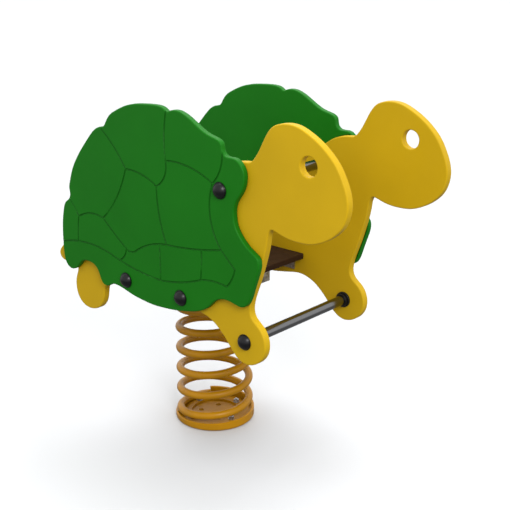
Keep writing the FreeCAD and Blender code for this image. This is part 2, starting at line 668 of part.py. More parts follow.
def build_nodes():
    nodes = {}
    left = side_panel()
    nodes["side_panel_left"] = left
    nodes["side_panel_right"] = mirrored(left)
    shell = shell_panel()
    nodes["shell_panel_left"] = shell
    nodes["shell_panel_right"] = mirrored(shell)
    nodes["seat_board"] = seat_board()
    for end, x in (("front", BRACKET_X), ("rear", -BRACKET_X)):
        nodes["seat_bracket_" + end + "_left"] = seat_bracket(x, 1)
        nodes["seat_bracket_" + end + "_right"] = seat_bracket(x, -1)
    shelf = SEAT_Z - BRACKET_T
    nodes["seat_screws"] = group([wood_screw(x, y, shelf) for x, y in seat_screw_places()])
    nodes["support_tray"] = support_tray()
    sheet = SEAT_Z - TRAY_SHEET
    nodes["tray_screws"] = group([wood_screw(x, y, sheet) for x, y in tray_screw_places()])
    nodes["coil_spring"] = coil_spring()
    ring = seat_ring()
    nodes["spring_seat_bottom"] = ring
    nodes["spring_seat_top"] = to_top(ring)
    nodes["base_plate"] = round_plate(True)
    nodes["top_plate"] = to_top(round_plate(False))
    for name, maker in (("bolts", plate_bolt), ("washers", plate_washer), ("nuts", plate_nut)):
        low = plate_group(maker)
        nodes["base_" + name] = low
        nodes["top_" + name] = to_top(low)
    for name, x, z, face in (("handle", HANDLE_X, HANDLE_HEIGHT, SHELL_Y),
                             ("footrest", FOOT_X, FOOT_HEIGHT, PANEL_Y)):
        nodes[name + "_bar"] = bar_tube(x, z)
        nodes[name + "_plugs"] = sides_group([bar_plug(x, z)])
        nodes[name + "_collars"] = sides_group([bar_collar(x, z)])
        nodes[name + "_bolts"] = sides_group([hex_bolt(x, z, face, INNER_Y - BOLT_BITE)])
        nodes[name + "_washers"] = sides_group([washer(x, z, face)])
        nodes[name + "_caps"] = sides_group([dome_cap(x, z, face)])
    tip = INNER_Y - BRACKET_T - WASHER_T - NUT_T - NUT_TAIL
    xs = (BRACKET_X, -BRACKET_X)
    z = LOW_BOLT_Z
    nodes["bracket_bolts"] = sides_group([hex_bolt(x, z, SHELL_Y, tip) for x in xs])
    nodes["bracket_caps"] = sides_group([dome_cap(x, z, SHELL_Y) for x in xs])
    nodes["bracket_nuts"] = sides_group([bracket_nut(x) for x in xs])
    inner = INNER_Y - BRACKET_T - WASHER_T
    rings = [washer(x, z, SHELL_Y) for x in xs] + [washer(x, z, inner) for x in xs]
    nodes["bracket_washers"] = sides_group(rings)
    return nodes


def main():
    os.makedirs("parts", exist_ok=True)
    for name, shape in build_nodes().items():
        shape.exportStep("parts/" + name + ".step")
        print(name, shape.isValid(), len(shape.Solids), round(shape.Volume))


main()
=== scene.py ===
# %% [markdown]
# # A turtle-shaped spring rider
# This file dresses a playground spring rider: two yellow side boards with green shell
# boards on them, a brown seat, two steel bars and an orange coil spring on a round base.
# The solid model comes in as a fixed frame, in metres, and nothing in it is moved here.
# Boards, bars, rings and brackets keep their shape and get finishes. The spring, the caps, the
# bolts and the nuts are made again in finer form.

# %% Load the frame
import bpy
import bmesh
import math
from mathutils import Matrix, Vector


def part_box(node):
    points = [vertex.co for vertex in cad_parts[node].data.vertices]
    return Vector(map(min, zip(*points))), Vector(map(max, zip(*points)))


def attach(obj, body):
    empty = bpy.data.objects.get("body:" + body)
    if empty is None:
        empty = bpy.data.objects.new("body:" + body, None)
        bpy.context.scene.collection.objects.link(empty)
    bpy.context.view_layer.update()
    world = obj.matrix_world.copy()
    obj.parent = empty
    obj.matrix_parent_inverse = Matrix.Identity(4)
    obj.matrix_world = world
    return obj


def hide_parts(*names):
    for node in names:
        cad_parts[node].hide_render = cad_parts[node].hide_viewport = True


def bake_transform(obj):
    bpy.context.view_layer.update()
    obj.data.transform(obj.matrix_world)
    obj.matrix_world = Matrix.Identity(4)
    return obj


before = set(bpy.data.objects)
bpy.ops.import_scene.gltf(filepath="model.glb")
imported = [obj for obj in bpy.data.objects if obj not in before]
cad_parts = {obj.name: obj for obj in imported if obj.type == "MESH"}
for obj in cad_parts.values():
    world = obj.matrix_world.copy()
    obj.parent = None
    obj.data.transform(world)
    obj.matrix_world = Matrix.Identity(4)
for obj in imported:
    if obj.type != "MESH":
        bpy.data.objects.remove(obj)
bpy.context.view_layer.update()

# %% [markdown]
# ## Where things are
# Places are read from the frame's own boxes, so they follow the solid model: a box gives
# the lowest and the highest corner of a piece, and the middle of a bolt's box is its axis.

# %% Measures from the frame
def low(node):
    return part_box(node)[0]


def high(node):
    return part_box(node)[1]


def middle(node):
    return (low(node) + high(node)) / 2


SHELL_Y = high("shell_panel_left").y
BOARD_Y = high("side_panel_left").y
INNER_Y = low("side_panel_left").y
PLATE_TOP = high("base_plate").z
UPPER_PLATE = low("top_plate").z
print("half widths", round(INNER_Y, 4), round(BOARD_Y, 4), round(SHELL_Y, 4))
print("spring works between", round(PLATE_TOP, 4), "and", round(UPPER_PLATE, 4))

# %% [markdown]
# ## Camera
# A long lens from the front right, a little above the rider, gives nearly parallel
# edges, as in a catalogue. The two angles below are the tilt down from level
# and the turn round the vertical. Blender's camera looks down when it isn't turned, so
# level is 90 degrees about X.

# %% Camera
LOOK_DOWN = 17.992
LOOK_ROUND = 41.586
camera_data = bpy.data.cameras.new("camera")
camera_data.sensor_width = 36.0
camera_data.lens = 71.99
camera = bpy.data.objects.new("camera", camera_data)
bpy.context.collection.objects.link(camera)
camera.location = (1.71072, -1.76811, 1.24266)
camera.rotation_euler = (math.radians(90 - LOOK_DOWN), 0, math.radians(LOOK_ROUND))
bpy.context.scene.camera = camera
print("camera", tuple(camera.location), "lens", camera_data.lens)

# %% [markdown]
# ## Light and floor
# A plain white studio. The world gives most of the light: white overhead and grey below, so
# round bars and domes turn dark underneath and their shape reads. A very wide sun, high and
# behind the rider, makes the top edges bright and puts a soft shadow in front of the base. A
# lamp at the front draws highlights on the domes and lights the inner faces. The Standard view
# keeps paint colours as they are mixed. The floor is a wide matt disc, and it throws no light
# back up, so it doesn't lift those undersides.

# %% Light and floor
scene = bpy.context.scene
scene.view_settings.view_transform = "Standard"
world = bpy.data.worlds.new("studio")
world.use_nodes = True
scene.world = world
air = world.node_tree.nodes["Background"]
air.inputs["Color"].default_value = (1.0, 1.0, 1.0, 1.0)
SKY = 1.15
GROUND = 0.30
SUN_POWER = 2.3
SUN_WIDTH = 45
FLOOR_R = 40.0
toward = world.node_tree.nodes.new("ShaderNodeTexCoord")
split = world.node_tree.nodes.new("ShaderNodeSeparateXYZ")
rise = world.node_tree.nodes.new("ShaderNodeMapRange")
rise.inputs["From Min"].default_value = -0.25
rise.inputs["From Max"].default_value = 0.05
rise.inputs["To Min"].default_value = GROUND
rise.inputs["To Max"].default_value = SKY
world.node_tree.links.new(toward.outputs["Generated"], split.inputs["Vector"])
world.node_tree.links.new(split.outputs["Z"], rise.inputs["Value"])
world.node_tree.links.new(rise.outputs["Result"], air.inputs["Strength"])


def soft_lamp(name, place, aim, size, power):
    data = bpy.data.lights.new(name, "AREA")
    data.shape = "DISK"
    data.size = size
    data.energy = power
    lamp = bpy.data.objects.new(name, data)
    lamp.location = place
    lamp.rotation_euler = (Vector(aim) - Vector(place)).to_track_quat("-Z", "Y").to_euler()
    bpy.context.collection.objects.link(lamp)
    return lamp


soft_lamp("lamp_front", (2.6, -1.7, 2.4), (0.0, 0.0, 0.4), 1.2, 70.0)

sky_data = bpy.data.lights.new("sky_light", "SUN")
sky_data.energy = SUN_POWER
sky_data.angle = math.radians(SUN_WIDTH)
sky_light = bpy.data.objects.new("sky_light", sky_data)
sky_light.rotation_euler = Vector((-0.30, 0.34, 1.0)).to_track_quat("Z", "Y").to_euler()
bpy.context.collection.objects.link(sky_light)

floor_mesh = bpy.data.meshes.new("studio_floor")
disc = bmesh.new()
bmesh.ops.create_circle(disc, cap_ends=True, radius=FLOOR_R, segments=96)
disc.to_mesh(floor_mesh)
disc.free()
studio_floor = bpy.data.objects.new("studio_floor", floor_mesh)
bpy.context.collection.objects.link(studio_floor)
studio_floor.visible_diffuse = False
studio_floor.visible_glossy = False

# %% [markdown]
# ## Mixing finishes
# Each finish is a small node tree on the Principled shader. Patterns are three-dimensional
# noises read at Object coordinates, which are metres here, so a scale of 500 makes grains
# about 2 mm wide. `grain` makes such a noise, `shade` turns it into a colour between two
# paints, `spread` into a number between two limits, and `raise_by` into small bumps.
# Numbers that are the same all over stay on the shader's own sockets.

# %% Finish helpers
def new_finish(name, colour, roughness):
    finish = bpy.data.materials.new(name)
    finish.use_nodes = True
    finish.diffuse_color = (*colour, 1.0)
    shader = finish.node_tree.nodes["Principled BSDF"]
    shader.inputs["Base Color"].default_value = (*colour, 1.0)
    shader.inputs["Roughness"].default_value = roughness
    return finish, finish.node_tree, shader


def grain(tree, scale, detail=2.0, roughness=0.5, stretch=(1, 1, 1)):
    place = tree.nodes.new("ShaderNodeTexCoord")
    mapping = tree.nodes.new("ShaderNodeMapping")
    mapping.inputs["Scale"].default_value = stretch
    noise = tree.nodes.new("ShaderNodeTexNoise")
    noise.inputs["Scale"].default_value = scale
    noise.inputs["Detail"].default_value = detail
    noise.inputs["Roughness"].default_value = roughness
    tree.links.new(place.outputs["Object"], mapping.inputs["Vector"])
    tree.links.new(mapping.outputs["Vector"], noise.inputs["Vector"])
    return noise.outputs["Fac"]


def spread(tree, value, lowest, highest, start=0.3, end=0.7):
    span = tree.nodes.new("ShaderNodeMapRange")
    span.inputs["From Min"].default_value = start
    span.inputs["From Max"].default_value = end
    span.inputs["To Min"].default_value = lowest
    span.inputs["To Max"].default_value = highest
    tree.links.new(value, span.inputs["Value"])
    return span.outputs["Result"]


def shade(tree, value, dark, light, start=0.3, end=0.7):
    ramp = tree.nodes.new("ShaderNodeValToRGB")
    ramp.color_ramp.elements[0].position = start
    ramp.color_ramp.elements[0].color = (*dark, 1.0)
    ramp.color_ramp.elements[1].position = end
    ramp.color_ramp.elements[1].color = (*light, 1.0)
    tree.links.new(value, ramp.inputs["Fac"])
    return ramp.outputs["Color"]


def raise_by(tree, value, depth, under=None):
    bump = tree.nodes.new("ShaderNodeBump")
    bump.inputs["Strength"].default_value = 1.0
    bump.inputs["Distance"].default_value = depth
    tree.links.new(value, bump.inputs["Height"])
    if under is not None:
        tree.links.new(under, bump.inputs["Normal"])
    return bump.outputs["Normal"]


def blend_colours(tree, share, first, second):
    mix = tree.nodes.new("ShaderNodeMix")
    mix.data_type = "RGBA"
    colour_sockets = [s for s in mix.inputs if s.type == "RGBA"]
    tree.links.new(share, mix.inputs["Factor"])
    tree.links.new(first, colour_sockets[0])
    tree.links.new(second, colour_sockets[1])
    return next(s for s in mix.outputs if s.type == "RGBA")


print("helpers ready")

# %% [markdown]
# ## Board finish
# The boards are solid coloured polyethylene, pressed with a fine leathery texture that
# keeps hands from slipping. So the finish is a very fine two-step bump: pebbles about
# 1.5 mm wide, and a softer wave under them as pressed sheet has. The colour varies by a
# few percent in broad clouds, as pigment does, and the gloss varies a little with it.
# The shell's carved lines get painted shade: an Ambient Occlusion node, which tells how closed
# in a point is, mixes a nearly black-green into them.
# One function makes all three boards, because only paint, gloss and depth differ.

# %% Board finishes
def board_finish(name, paint, gloss_low, gloss_high, pebble, depth, groove=None):
    finish, tree, shader = new_finish(name, paint, (gloss_low + gloss_high) / 2)
    clouds = grain(tree, 5.0, 3.0)
    darker = tuple(c * 0.93 for c in paint)
    lighter = tuple(min(1.0, c * 1.06) for c in paint)
    skin = shade(tree, clouds, darker, lighter)
    if groove is not None:
        # painted shade: the carved lines are darkened by how closed in they are
        closed_in = tree.nodes.new("ShaderNodeAmbientOcclusion")
        closed_in.samples = 8
        closed_in.inputs["Distance"].default_value = 0.005
        open_share = spread(tree, closed_in.outputs["AO"], 0.0, 1.0, 0.55, 0.86)
        bottom = shade(tree, clouds, groove, groove)
        skin = blend_colours(tree, open_share, bottom, skin)
    tree.links.new(skin, shader.inputs["Base Color"])
    worn = grain(tree, 28.0, 4.0)
    tree.links.new(spread(tree, worn, gloss_low, gloss_high), shader.inputs["Roughness"])
    wave = raise_by(tree, grain(tree, 60.0, 1.0), depth * 1.6)
    pebbles = raise_by(tree, grain(tree, pebble, 2.0, 0.6), depth, wave)
    tree.links.new(pebbles, shader.inputs["Normal"])
    shader.inputs["Specular IOR Level"].default_value = 0.12
    return finish


YELLOW = (0.510, 0.322, 0.006)
GREEN = (0.006, 0.138, 0.004)
BROWN = (0.030, 0.013, 0.007)
# painted shade colour for the shell's carved lines
SHADED_GREEN = (0.001, 0.035, 0.001)
PEBBLES = 700.0
PEBBLE_DEPTH = 0.00006
yellow_board = board_finish("yellow_polyethylene", YELLOW, 0.40, 0.52, PEBBLES,
                            PEBBLE_DEPTH)
green_board = board_finish("green_polyethylene", GREEN, 0.42, 0.54, PEBBLES,
                           PEBBLE_DEPTH, SHADED_GREEN)
brown_board = board_finish("brown_polyethylene", BROWN, 0.45, 0.62, 420.0, 0.00014)
print("boards", yellow_board.name, green_board.name, brown_board.name)

# %% [markdown]
# ## Orange powder coat
# The spring, its plates and its seat rings are powder-coated. Baked powder flows into a
# glossy skin with a slight orange-peel wave some millimetres wide. Low down, a little
# dust dulls the colour: a Separate XYZ node gives the height in metres and a Map Range
# turns it into a share of dust.

# %% Orange paint
def coat_finish(name, paint):
    finish, tree, shader = new_finish(name, paint, 0.32)
    clouds = shade(tree, grain(tree, 14.0, 3.0), tuple(c * 0.90 for c in paint),
                   tuple(min(1.0, c * 1.08) for c in paint))
    place = tree.nodes.new("ShaderNodeTexCoord")
    split = tree.nodes.new("ShaderNodeSeparateXYZ")
    tree.links.new(place.outputs["Object"], split.inputs["Vector"])
    near_ground = spread(tree, split.outputs["Z"], 0.10, 0.0, 0.0, 0.03)
    speckle = grain(tree, 160.0, 3.0, 0.7)
    share = tree.nodes.new("ShaderNodeMath")
    share.operation = "MULTIPLY"
    tree.links.new(near_ground, share.inputs[0])
    tree.links.new(spread(tree, speckle, 0.0, 1.0, 0.42, 0.62), share.inputs[1])
    dust = shade(tree, speckle, (0.22, 0.10, 0.004), (0.30, 0.14, 0.008))
    tree.links.new(blend_colours(tree, share.outputs[0], clouds, dust),
                   shader.inputs["Base Color"])
    tree.links.new(spread(tree, grain(tree, 30.0, 3.0), 0.26, 0.38),
                   shader.inputs["Roughness"])
    peel = raise_by(tree, grain(tree, 260.0, 1.0), 0.00010)
    tree.links.new(peel, shader.inputs["Normal"])
    shader.inputs["Specular IOR Level"].default_value = 0.22
    return finish


ORANGE = (0.38, 0.172, 0.0005)
orange_paint = coat_finish("orange_powder_coat", ORANGE)
print("paint", orange_paint.name, ORANGE)

# %% [markdown]
# ## Bare metals
# Galvanised steel has a skin of flat zinc crystals, each of its own grey. A Voronoi
# texture in cell mode gives every crystal one value, which sets its grey and its gloss.
# The bars are stainless tube, ground round their length, so their noise is squeezed
# along the tube: the mapping multiplies the tube's own direction, Y, and leaves the
# others, and fine rings of scratches come out.

# %% Metal finishes
def zinc_finish(name):
    finish, tree, shader = new_finish(name, (0.42, 0.43, 0.45), 0.4)
    place = tree.nodes.new("ShaderNodeTexCoord")
    crystals = tree.nodes.new("ShaderNodeTexVoronoi")
    crystals.inputs["Scale"].default_value = 180.0
    tree.links.new(place.outputs["Object"], crystals.inputs["Vector"])
    split = tree.nodes.new("ShaderNodeSeparateColor")
    tree.links.new(crystals.outputs["Color"], split.inputs["Color"])
    one = split.outputs["Red"]
    tree.links.new(shade(tree, one, (0.33, 0.34, 0.36), (0.52, 0.53, 0.55), 0.0, 1.0),
                   shader.inputs["Base Color"])
    tree.links.new(spread(tree, one, 0.30, 0.48, 0.0, 1.0), shader.inputs["Roughness"])
    tree.links.new(raise_by(tree, grain(tree, 320.0, 3.0), 0.00004),
                   shader.inputs["Normal"])
    shader.inputs["Metallic"].default_value = 1.0
    return finish


def ground_steel_finish(name):
    finish, tree, shader = new_finish(name, (0.18, 0.18, 0.185), 0.2)
    rings = grain(tree, 90.0, 4.0, 0.7, (1.0, 30.0, 1.0))
    tree.links.new(shade(tree, rings, (0.15, 0.152, 0.157), (0.21, 0.212, 0.217)),
                   shader.inputs["Base Color"])
    tree.links.new(spread(tree, rings, 0.10, 0.22), shader.inputs["Roughness"])
    tree.links.new(raise_by(tree, rings, 0.00002), shader.inputs["Normal"])
    shader.inputs["Metallic"].default_value = 1.0
    return finish


zinc_steel = zinc_finish("galvanised_steel")
stainless_steel = ground_steel_finish("ground_stainless")
print("metals", zinc_steel.name, stainless_steel.name)

# %% [markdown]
# ## Black caps
# The caps and collars are moulded plastic with a satin skin. Moulds are spark-eroded, so
# the grain is tiny and even. A few percent of grey in the black keeps the domes readable.

# %% Black plastic
def moulded_finish(name, paint):
    finish, tree, shader = new_finish(name, paint, 0.34)
    clouds = grain(tree, 40.0, 3.0)
    tree.links.new(shade(tree, clouds, tuple(c * 0.8 for c in paint),
                         tuple(c * 1.25 for c in paint)), shader.inputs["Base Color"])
    tree.links.new(spread(tree, grain(tree, 120.0, 3.0), 0.28, 0.42),
                   shader.inputs["Roughness"])
    tree.links.new(raise_by(tree, grain(tree, 1100.0, 2.0), 0.00003),
                   shader.inputs["Normal"])
    shader.inputs["Specular IOR Level"].default_value = 0.30
    return finish


black_plastic = moulded_finish("black_moulded_plastic", (0.003, 0.0028, 0.004))
print("plastic", black_plastic.name)

# %% [markdown]
# ## Floor finish
# Pale grey and dull, with a trace of unevenness. The strong light turns it white, and it
# only catches the shadow.

# %% Floor finish
floor_paint, floor_tree, floor_shader = new_finish("floor_paint", (0.55, 0.56, 0.57), 0.9)
floor_tree.links.new(shade(floor_tree, grain(floor_tree, 3.0, 2.0), (0.548, 0.556, 0.568),
                           (0.556, 0.564, 0.576)), floor_shader.inputs["Base Color"])
floor_shader.inputs["Specular IOR Level"].default_value = 0.1
studio_floor.data.materials.append(floor_paint)

# %% [markdown]
# ## Dress the solid pieces
# Each solid piece names its finish in its one material slot. The slot's content is
# exchanged for the finish of the same name, and the mesh isn't touched.

# %% Dress the solid pieces
finishes = {"yellow_board": yellow_board, "green_board": green_board,
            "brown_board": brown_board, "orange_paint": orange_paint,
            "zinc_steel": zinc_steel, "stainless_steel": stainless_steel,
            "black_plastic": black_plastic}
slot_of = {}
for name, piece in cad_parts.items():
    slot = piece.data.materials[0].name.split(".")[0]
    slot_of[name] = slot
    piece.material_slots[0].material = finishes[slot]
print({s: sum(1 for v in slot_of.values() if v == s) for s in finishes})

# %% [markdown]
# ## Turning and making a mesh
# A cap, a washer or a bolt's shank is a turned piece, so its half section is enough: a
# row of points, each a distance from the axis and a height, from the middle of the bottom
# to the middle of the top. `turned` makes a ring of vertices at each point, a single
# vertex where the section meets the axis, so the poles are closed, and joins the rings.
# A distance or a height may also be a function of the angle, which is how the flats of a
# hexagon come in. Edges sharper than 35 degrees are marked sharp, the rest shade smoothly.

# %% Mesh helpers
def as_object(name, work, sharp=35.0):
    bmesh.ops.remove_doubles(work, verts=work.verts, dist=1e-7)
    bmesh.ops.recalc_face_normals(work, faces=work.faces)
    for face in work.faces:
        face.smooth = True
    for edge in work.edges:
        if len(edge.link_faces) == 2:
            edge.smooth = edge.calc_face_angle(0.0) < math.radians(sharp)
    mesh = bpy.data.meshes.new(name)
    work.to_mesh(mesh)
    work.free()
    piece = bpy.data.objects.new(name, mesh)
    bpy.context.collection.objects.link(piece)
    return piece


def turn_section(work, section, steps):
    rings = []
    for radius, height in section:
        if radius == 0:
            rings.append([work.verts.new((0, 0, height))])
            continue
        ring = []
        for i in range(steps):
            a = math.tau * i / steps
            r = radius(a) if callable(radius) else radius
            h = height(a) if callable(height) else height
            ring.append(work.verts.new((r * math.cos(a), r * math.sin(a), h)))
        rings.append(ring)
    for lower, upper in zip(rings, rings[1:]):
        for i in range(steps):
            j = (i + 1) % steps
            corners = [lower[i % len(lower)], lower[j % len(lower)],
                       upper[j % len(upper)], upper[i % len(upper)]]
            work.faces.new(list(dict.fromkeys(corners)))
    return rings


def turned(name, section, steps=48, closed=False):
    work = bmesh.new()
    rings = turn_section(work, section, steps)
    if closed:
        for i in range(steps):
            j = (i + 1) % steps
            work.faces.new([rings[-1][i], rings[-1][j], rings[0][j], rings[0][i]])
    return as_object(name, work)


def arc(centre_r, centre_h, radius, start, end, steps):
    return [(centre_r + radius * math.cos(math.radians(start + (end - start) * i / steps)),
             centre_h + radius * math.sin(math.radians(start + (end - start) * i / steps)))
            for i in range(steps + 1)]


print("mesh helpers ready")

# %% [markdown]
# ## Geometry Nodes helpers
# A tree gets its sizes through named inputs, so one tree serves several pieces. `tree_for`
# makes a tree with those inputs, and `run` hangs it on an object as a modifier, sets each
# input by its socket's identifier, and turns the evaluated result into a plain mesh that
# no longer needs the modifier. `calc` and `point_at` keep the arithmetic short.

# %% Geometry Nodes helpers
def tree_for(name, inputs):
    tree = bpy.data.node_groups.new(name, "GeometryNodeTree")
    tree.interface.new_socket("Geometry", in_out="INPUT", socket_type="NodeSocketGeometry")
    for label, kind in inputs.items():
        tree.interface.new_socket(label, in_out="INPUT", socket_type="NodeSocket" + kind)
    tree.interface.new_socket("Geometry", in_out="OUTPUT", socket_type="NodeSocketGeometry")
    return tree, tree.nodes.new("NodeGroupInput"), tree.nodes.new("NodeGroupOutput")


def calc(tree, operation, *values):
    node = tree.nodes.new("ShaderNodeMath")
    node.operation = operation
    for socket, value in zip(node.inputs, values):
        if isinstance(value, (int, float)):
            socket.default_value = value
        else:
            tree.links.new(value, socket)
    return node.outputs["Value"]


def point_at(tree, x, y, z):
    node = tree.nodes.new("ShaderNodeCombineXYZ")
    for label, value in zip("XYZ", (x, y, z)):
        if isinstance(value, (int, float)):
            node.inputs[label].default_value = value
        else:
            tree.links.new(value, node.inputs[label])
    return node.outputs["Vector"]


def finish_tree(tree, geometry, material, out):
    real = tree.nodes.new("GeometryNodeRealizeInstances")
    paint = tree.nodes.new("GeometryNodeSetMaterial")
    tree.links.new(geometry, real.inputs["Geometry"])
    tree.links.new(real.outputs["Geometry"], paint.inputs["Geometry"])
    tree.links.new(material, paint.inputs["Material"])
    tree.links.new(paint.outputs["Geometry"], out.inputs["Geometry"])


def run(piece, tree, name, values):
    step = piece.modifiers.new("layout", "NODES")
    step.node_group = tree
    sockets = {s.name: s.identifier for s in tree.interface.items_tree
               if s.in_out == "INPUT"}
    for label, value in values.items():
        step[sockets[label]] = value
    bpy.context.view_layer.update()
    view = piece.evaluated_get(bpy.context.evaluated_depsgraph_get())
    mesh = bpy.data.meshes.new_from_object(view)
    piece.modifiers.remove(step)
    bpy.data.objects.remove(piece)
    mesh.name = name
    made = bpy.data.objects.new(name, mesh)
    bpy.context.collection.objects.link(made)
    print(name, len(mesh.polygons), "faces")
    return made


print("node helpers ready")

# %% [markdown]
# ## Setting pieces out
# Two trees place fixings. `round_layout` sets a piece out on a circle about the spring's
# axis, one for each bolt of a plate. `side_layout` sets it out on both sides of the rider,
# in one or more places along it, and turns each one so that its own Z points outwards:
# even points go left, odd points right, and half the index, rounded down, gives the place.

# %% Layout trees
round_layout, given, out = tree_for("round_layout", {
    "Count": "Int", "Circle radius": "Float", "First angle": "Float",
    "Height": "Float", "Upside down": "Float", "Finish": "Material"})
dots = round_layout.nodes.new("GeometryNodePoints")
which = round_layout.nodes.new("GeometryNodeInputIndex")
share = calc(round_layout, "DIVIDE", which.outputs["Index"], given.outputs["Count"])
angle = calc(round_layout, "MULTIPLY_ADD", share, math.tau, given.outputs["First angle"])
spot = point_at(
    round_layout,
    calc(round_layout, "MULTIPLY", calc(round_layout, "COSINE", angle),
         given.outputs["Circle radius"]),
    calc(round_layout, "MULTIPLY", calc(round_layout, "SINE", angle),
         given.outputs["Circle radius"]),
    given.outputs["Height"])
copies = round_layout.nodes.new("GeometryNodeInstanceOnPoints")
turn = calc(round_layout, "MULTIPLY", given.outputs["Upside down"], math.pi)
round_layout.links.new(given.outputs["Count"], dots.inputs["Count"])
round_layout.links.new(spot, dots.inputs["Position"])
round_layout.links.new(dots.outputs["Points"], copies.inputs["Points"])
round_layout.links.new(given.outputs["Geometry"], copies.inputs["Instance"])
round_layout.links.new(point_at(round_layout, turn, 0.0, angle), copies.inputs["Rotation"])
finish_tree(round_layout, copies.outputs["Instances"], given.outputs["Finish"], out)

side_layout, given, out = tree_for("side_layout", {
    "Places": "Int", "First X": "Float", "Step X": "Float", "Height": "Float",
    "Distance out": "Float", "Finish": "Material"})
dots = side_layout.nodes.new("GeometryNodePoints")
which = side_layout.nodes.new("GeometryNodeInputIndex")
side = calc(side_layout, "MODULO", which.outputs["Index"], 2.0)
place = calc(side_layout, "FLOOR", calc(side_layout, "DIVIDE", which.outputs["Index"], 2.0))
sign = calc(side_layout, "MULTIPLY_ADD", side, -2.0, 1.0)
spot = point_at(
    side_layout,
    calc(side_layout, "MULTIPLY_ADD", place, given.outputs["Step X"],
         given.outputs["First X"]),
    calc(side_layout, "MULTIPLY", sign, given.outputs["Distance out"]),
    given.outputs["Height"])
copies = side_layout.nodes.new("GeometryNodeInstanceOnPoints")
tilt = calc(side_layout, "MULTIPLY", sign, -math.pi / 2)
side_layout.links.new(calc(side_layout, "MULTIPLY", given.outputs["Places"], 2.0),
                      dots.inputs["Count"])
side_layout.links.new(spot, dots.inputs["Position"])
side_layout.links.new(dots.outputs["Points"], copies.inputs["Points"])
side_layout.links.new(given.outputs["Geometry"], copies.inputs["Instance"])
side_layout.links.new(point_at(side_layout, tilt, 0.0, 0.0), copies.inputs["Rotation"])
finish_tree(side_layout, copies.outputs["Instances"], given.outputs["Finish"], out)
print("layouts", round_layout.name, side_layout.name)

# %% [markdown]
# ## The coil spring
# The spring is one 20 mm bar wound on a 180 mm circle. It rises 57 mm a turn, and lies
# level for a tenth of a turn at each end, where it sits on its plate. That is a rule, so
# Geometry Nodes make it: a line is divided into many points, each point's share of the
# line gives its angle, the angle gives its height, and a circle is swept along the path.
# It is made in two halves that meet at half height, each from its own share of the same path.

# %% Coil tree
coil_tree, given, out = tree_for("coil_of_bar", {
    "Mean radius": "Float", "Bar": "Float", "Low": "Float", "High": "Float",
    "First angle": "Float", "Level angle": "Float", "Whole angle": "Float",
    "From share": "Float", "To share": "Float", "Points": "Int", "Finish": "Material"})
line = coil_tree.nodes.new("GeometryNodeCurvePrimitiveLine")
divided = coil_tree.nodes.new("GeometryNodeResampleCurve")
along = coil_tree.nodes.new("GeometryNodeSplineParameter")
moved = coil_tree.nodes.new("GeometryNodeSetPosition")
swept = coil_tree.nodes.new("GeometryNodeCurveToMesh")
ring = coil_tree.nodes.new("GeometryNodeCurvePrimitiveCircle")
ring.inputs["Resolution"].default_value = 36
smooth = coil_tree.nodes.new("GeometryNodeSetShadeSmooth")
part_of = calc(coil_tree, "SUBTRACT", given.outputs["To share"], given.outputs["From share"])
share = calc(coil_tree, "MULTIPLY_ADD", along.outputs["Factor"], part_of,
             given.outputs["From share"])
turned_by = calc(coil_tree, "MULTIPLY", share, given.outputs["Whole angle"])
rising = calc(coil_tree, "SUBTRACT", given.outputs["Whole angle"],
              calc(coil_tree, "MULTIPLY", given.outputs["Level angle"], 2.0))
climb = calc(coil_tree, "DIVIDE",
             calc(coil_tree, "SUBTRACT", turned_by, given.outputs["Level angle"]), rising)
held = calc(coil_tree, "MINIMUM", calc(coil_tree, "MAXIMUM", climb, 0.0), 1.0)
height = calc(coil_tree, "MULTIPLY_ADD", held,
              calc(coil_tree, "SUBTRACT", given.outputs["High"], given.outputs["Low"]),
              given.outputs["Low"])
angle = calc(coil_tree, "ADD", turned_by, given.outputs["First angle"])
spot = point_at(
    coil_tree,
    calc(coil_tree, "MULTIPLY", calc(coil_tree, "COSINE", angle), given.outputs["Mean radius"]),
    calc(coil_tree, "MULTIPLY", calc(coil_tree, "SINE", angle), given.outputs["Mean radius"]),
    height)
coil_tree.links.new(line.outputs["Curve"], divided.inputs["Curve"])
coil_tree.links.new(given.outputs["Points"], divided.inputs["Count"])
coil_tree.links.new(divided.outputs["Curve"], moved.inputs["Geometry"])
coil_tree.links.new(spot, moved.inputs["Position"])
coil_tree.links.new(calc(coil_tree, "DIVIDE", given.outputs["Bar"], 2.0),
                    ring.inputs["Radius"])
coil_tree.links.new(moved.outputs["Geometry"], swept.inputs["Curve"])
coil_tree.links.new(ring.outputs["Curve"], swept.inputs["Profile Curve"])
swept.inputs["Fill Caps"].default_value = True
coil_tree.links.new(swept.outputs["Mesh"], smooth.inputs["Geometry"])
finish_tree(coil_tree, smooth.outputs["Geometry"], given.outputs["Finish"], out)
print("coil tree has", len(coil_tree.nodes), "nodes")

# %% [markdown]
# The height that the bar climbs, divided by the rise of a turn, gives the angle between
# the two level ends. The two halves together stand for the solid spring.

# %% Coil spring
COIL_R = 0.090
BAR = 0.020
COIL_RISE = 0.057
SEATED = 0.0007
LEVEL = math.radians(38.6)
CLIMB_START = math.radians(-179.4)
FIRST = CLIMB_START - LEVEL
bar_low = PLATE_TOP + BAR / 2 + SEATED
bar_high = UPPER_PLATE - BAR / 2 - SEATED
WHOLE = (bar_high - bar_low) / COIL_RISE * math.tau + 2 * LEVEL


def coil_half(name, share_from, share_to):
    holder = bpy.data.objects.new(name + "_path", bpy.data.meshes.new(name + "_path"))
    bpy.context.collection.objects.link(holder)
    return run(holder, coil_tree, name, {
        "Mean radius": COIL_R, "Bar": BAR, "Low": bar_low, "High": bar_high,
        "First angle": FIRST, "Level angle": LEVEL, "Whole angle": WHOLE,
        "From share": share_from, "To share": share_to, "Points": 420,
        "Finish": orange_paint})


